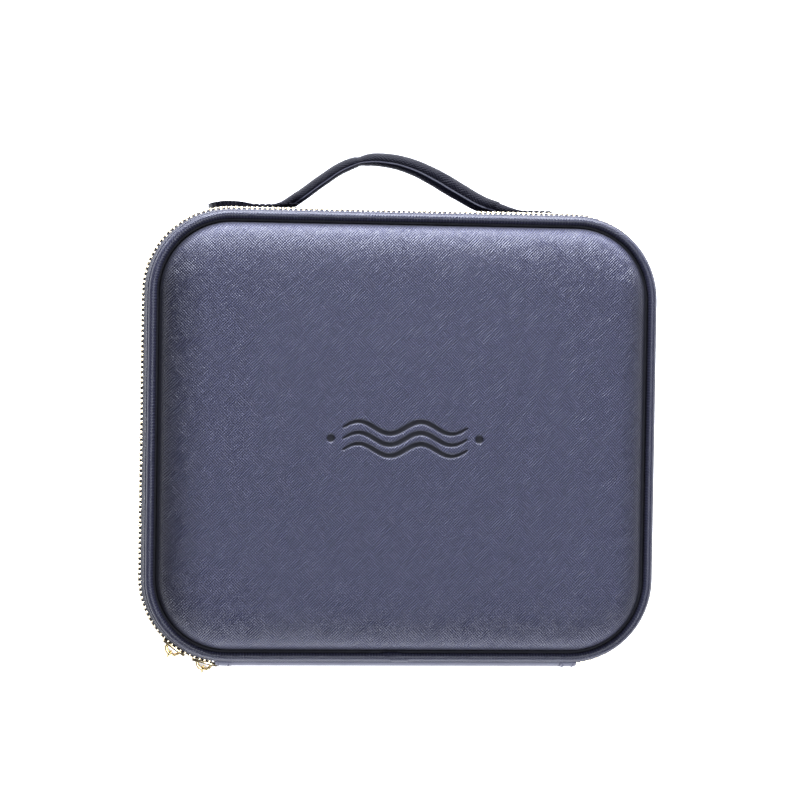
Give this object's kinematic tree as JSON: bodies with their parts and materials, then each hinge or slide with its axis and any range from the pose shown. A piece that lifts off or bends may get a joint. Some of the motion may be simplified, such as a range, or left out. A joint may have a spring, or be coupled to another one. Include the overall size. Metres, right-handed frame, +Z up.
{
  "type": "heated roller set",
  "caption": "Heated hair roller set closed in a zipped hard case with a rolled handle, a hinged lid, heated posts, rollers and claw clips inside.",
  "frame": {"origin": "middle of the flat outer face of the back panel, on which the closed case lies", "axes": "+Z up out of the back panel towards the lid; the handle is on the -Y side and the lid's hinge on the +Y side; +X is to the user's right as they face +Y"},
  "size_m": [0.2996, 0.3081, 0.122],
  "materials": {
    "grained_leather": "satin, diagonal cross-grain",
    "smooth_leather": "satin, fine grain",
    "fibre_board": "raw pressed board",
    "lining_fabric": "matt woven lining",
    "zip_tape": "woven tape",
    "pale_gold": "polished, pale gold plated",
    "housing_plastic": "fine moulded texture",
    "cast_aluminium": "cast, satin",
    "heater_ceramic": "unglazed ceramic",
    "circuit_board": "solder mask",
    "lens_amber": "clear moulded",
    "cap_plastic": "smooth moulded",
    "flocked_barrel": "flocked, over a ceramic-filled barrel",
    "clip_plastic": "smooth moulded"
  },
  "bodies": {
    "case": {"back_panel": "grained_leather", "rear_piping": "grained_leather", "gusset": "grained_leather", "hinge_strip_lower": "grained_leather", "zip_end_tab_left": "smooth_leather", "zip_end_tab_right": "smooth_leather", "handle_tab_left": "smooth_leather", "handle_tab_right": "smooth_leather", "body_board": "fibre_board", "body_lining": "lining_fabric", "body_zip_tape": "zip_tape", "body_zip_teeth": "pale_gold", "base_tray": "housing_plastic", "base_deck": "housing_plastic", "clip_tray": "housing_plastic", "switch_bezel": "housing_plastic", "mains_inlet": "housing_plastic", "thermostat": "housing_plastic", "heater_plate": "cast_aluminium", "ptc_element_left": "heater_ceramic", "ptc_element_right": "heater_ceramic", "control_board": "circuit_board", "pilot_lens": "lens_amber", "clip_1_lower_jaw": "clip_plastic", "clip_2_lower_jaw": "clip_plastic", "clip_3_lower_jaw": "clip_plastic", "clip_4_lower_jaw": "clip_plastic"},
    "lid": {"lid_panel": "grained_leather", "lid_piping": "grained_leather", "lid_board": "fibre_board", "lid_lining": "lining_fabric", "lid_zip_teeth": "pale_gold", "lid_zip_tape": "zip_tape", "hinge_strip_upper": "grained_leather"},
    "slider_a": {"slider_a": "pale_gold"},
    "pull_a": {"pull_a": "pale_gold"},
    "slider_b": {"slider_b": "pale_gold"},
    "pull_b": {"pull_b": "pale_gold"},
    "handle": {"handle_grip": "smooth_leather"},
    "rocker": {"power_rocker": "cap_plastic"},
    "roller_large_1": {"roller_large_1_barrel": "flocked_barrel", "roller_large_1_cap": "cap_plastic"},
    "roller_large_2": {"roller_large_2_barrel": "flocked_barrel", "roller_large_2_cap": "cap_plastic"},
    "roller_large_3": {"roller_large_3_barrel": "flocked_barrel", "roller_large_3_cap": "cap_plastic"},
    "roller_large_4": {"roller_large_4_barrel": "flocked_barrel", "roller_large_4_cap": "cap_plastic"},
    "roller_small_1": {"roller_small_1_barrel": "flocked_barrel", "roller_small_1_cap": "cap_plastic"},
    "roller_small_2": {"roller_small_2_barrel": "flocked_barrel", "roller_small_2_cap": "cap_plastic"},
    "roller_small_3": {"roller_small_3_barrel": "flocked_barrel", "roller_small_3_cap": "cap_plastic"},
    "roller_small_4": {"roller_small_4_barrel": "flocked_barrel", "roller_small_4_cap": "cap_plastic"},
    "clip_1": {"clip_1_upper_jaw": "clip_plastic"},
    "clip_2": {"clip_2_upper_jaw": "clip_plastic"},
    "clip_3": {"clip_3_upper_jaw": "clip_plastic"},
    "clip_4": {"clip_4_upper_jaw": "clip_plastic"}
  },
  "joints": [
    {"name": "lid_hinge", "type": "hinge", "parent": "case", "child": "lid", "pos_m": [0, 0.1365, 0.097], "axis": [-1, 0, 0], "range_deg": [0, 197.5]},
    {"name": "handle_swing", "type": "hinge", "parent": "case", "child": "handle", "pos_m": [0, -0.138, 0.05], "axis": [1, 0, 0], "range_deg": [-40, 40]},
    {"name": "slider_a_run", "type": "hinge", "parent": "case", "child": "slider_a", "pos_m": [0.1, 0.082, 0.097], "axis": [0, 0, 1], "range_deg": [-45, 0]},
    {"name": "pull_a_swing", "type": "hinge", "parent": "slider_a", "child": "pull_a", "pos_m": [0.13319, 0.12735, 0.097], "axis": [0.807, -0.5906, 0], "range_deg": [0, 120]},
    {"name": "slider_b_run", "type": "hinge", "parent": "case", "child": "slider_b", "pos_m": [0.1, 0.082, 0.097], "axis": [0, 0, 1], "range_deg": [-4, 0]},
    {"name": "pull_b_swing", "type": "hinge", "parent": "slider_b", "child": "pull_b", "pos_m": [0.11379, 0.13648, 0.097], "axis": [0.9694, -0.2453, 0], "range_deg": [0, 120]},
    {"name": "rocker_tip", "type": "hinge", "parent": "case", "child": "rocker", "pos_m": [0.113, -0.074, 0.0438], "axis": [1, 0, 0], "range_deg": [-14, 0]},
    {"name": "roller_large_1_lift", "type": "slide", "parent": "case", "child": "roller_large_1", "axis": [0, 0, 1], "range_m": [0, 0.008]},
    {"name": "roller_large_2_lift", "type": "slide", "parent": "case", "child": "roller_large_2", "axis": [0, 0, 1], "range_m": [0, 0.008]},
    {"name": "roller_large_3_lift", "type": "slide", "parent": "case", "child": "roller_large_3", "axis": [0, 0, 1], "range_m": [0, 0.008]},
    {"name": "roller_large_4_lift", "type": "slide", "parent": "case", "child": "roller_large_4", "axis": [0, 0, 1], "range_m": [0, 0.008]},
    {"name": "roller_small_1_lift", "type": "slide", "parent": "case", "child": "roller_small_1", "axis": [0, 0, 1], "range_m": [0, 0.008]},
    {"name": "roller_small_2_lift", "type": "slide", "parent": "case", "child": "roller_small_2", "axis": [0, 0, 1], "range_m": [0, 0.008]},
    {"name": "roller_small_3_lift", "type": "slide", "parent": "case", "child": "roller_small_3", "axis": [0, 0, 1], "range_m": [0, 0.008]},
    {"name": "roller_small_4_lift", "type": "slide", "parent": "case", "child": "roller_small_4", "axis": [0, 0, 1], "range_m": [0, 0.008]},
    {"name": "clip_1_open", "type": "hinge", "parent": "case", "child": "clip_1", "pos_m": [-0.069, -0.087, 0.031], "axis": [1, 0, 0], "range_deg": [0, 35], "stiffness_Nm_per_rad": 0.08, "springref_deg": -11.46},
    {"name": "clip_2_open", "type": "hinge", "parent": "case", "child": "clip_2", "pos_m": [-0.023, -0.087, 0.031], "axis": [1, 0, 0], "range_deg": [0, 35], "stiffness_Nm_per_rad": 0.08, "springref_deg": -11.46},
    {"name": "clip_3_open", "type": "hinge", "parent": "case", "child": "clip_3", "pos_m": [0.023, -0.087, 0.031], "axis": [1, 0, 0], "range_deg": [0, 35], "stiffness_Nm_per_rad": 0.08, "springref_deg": -11.46},
    {"name": "clip_4_open", "type": "hinge", "parent": "case", "child": "clip_4", "pos_m": [0.069, -0.087, 0.031], "axis": [1, 0, 0], "range_deg": [0, 35], "stiffness_Nm_per_rad": 0.08, "springref_deg": -11.46}
  ]
}
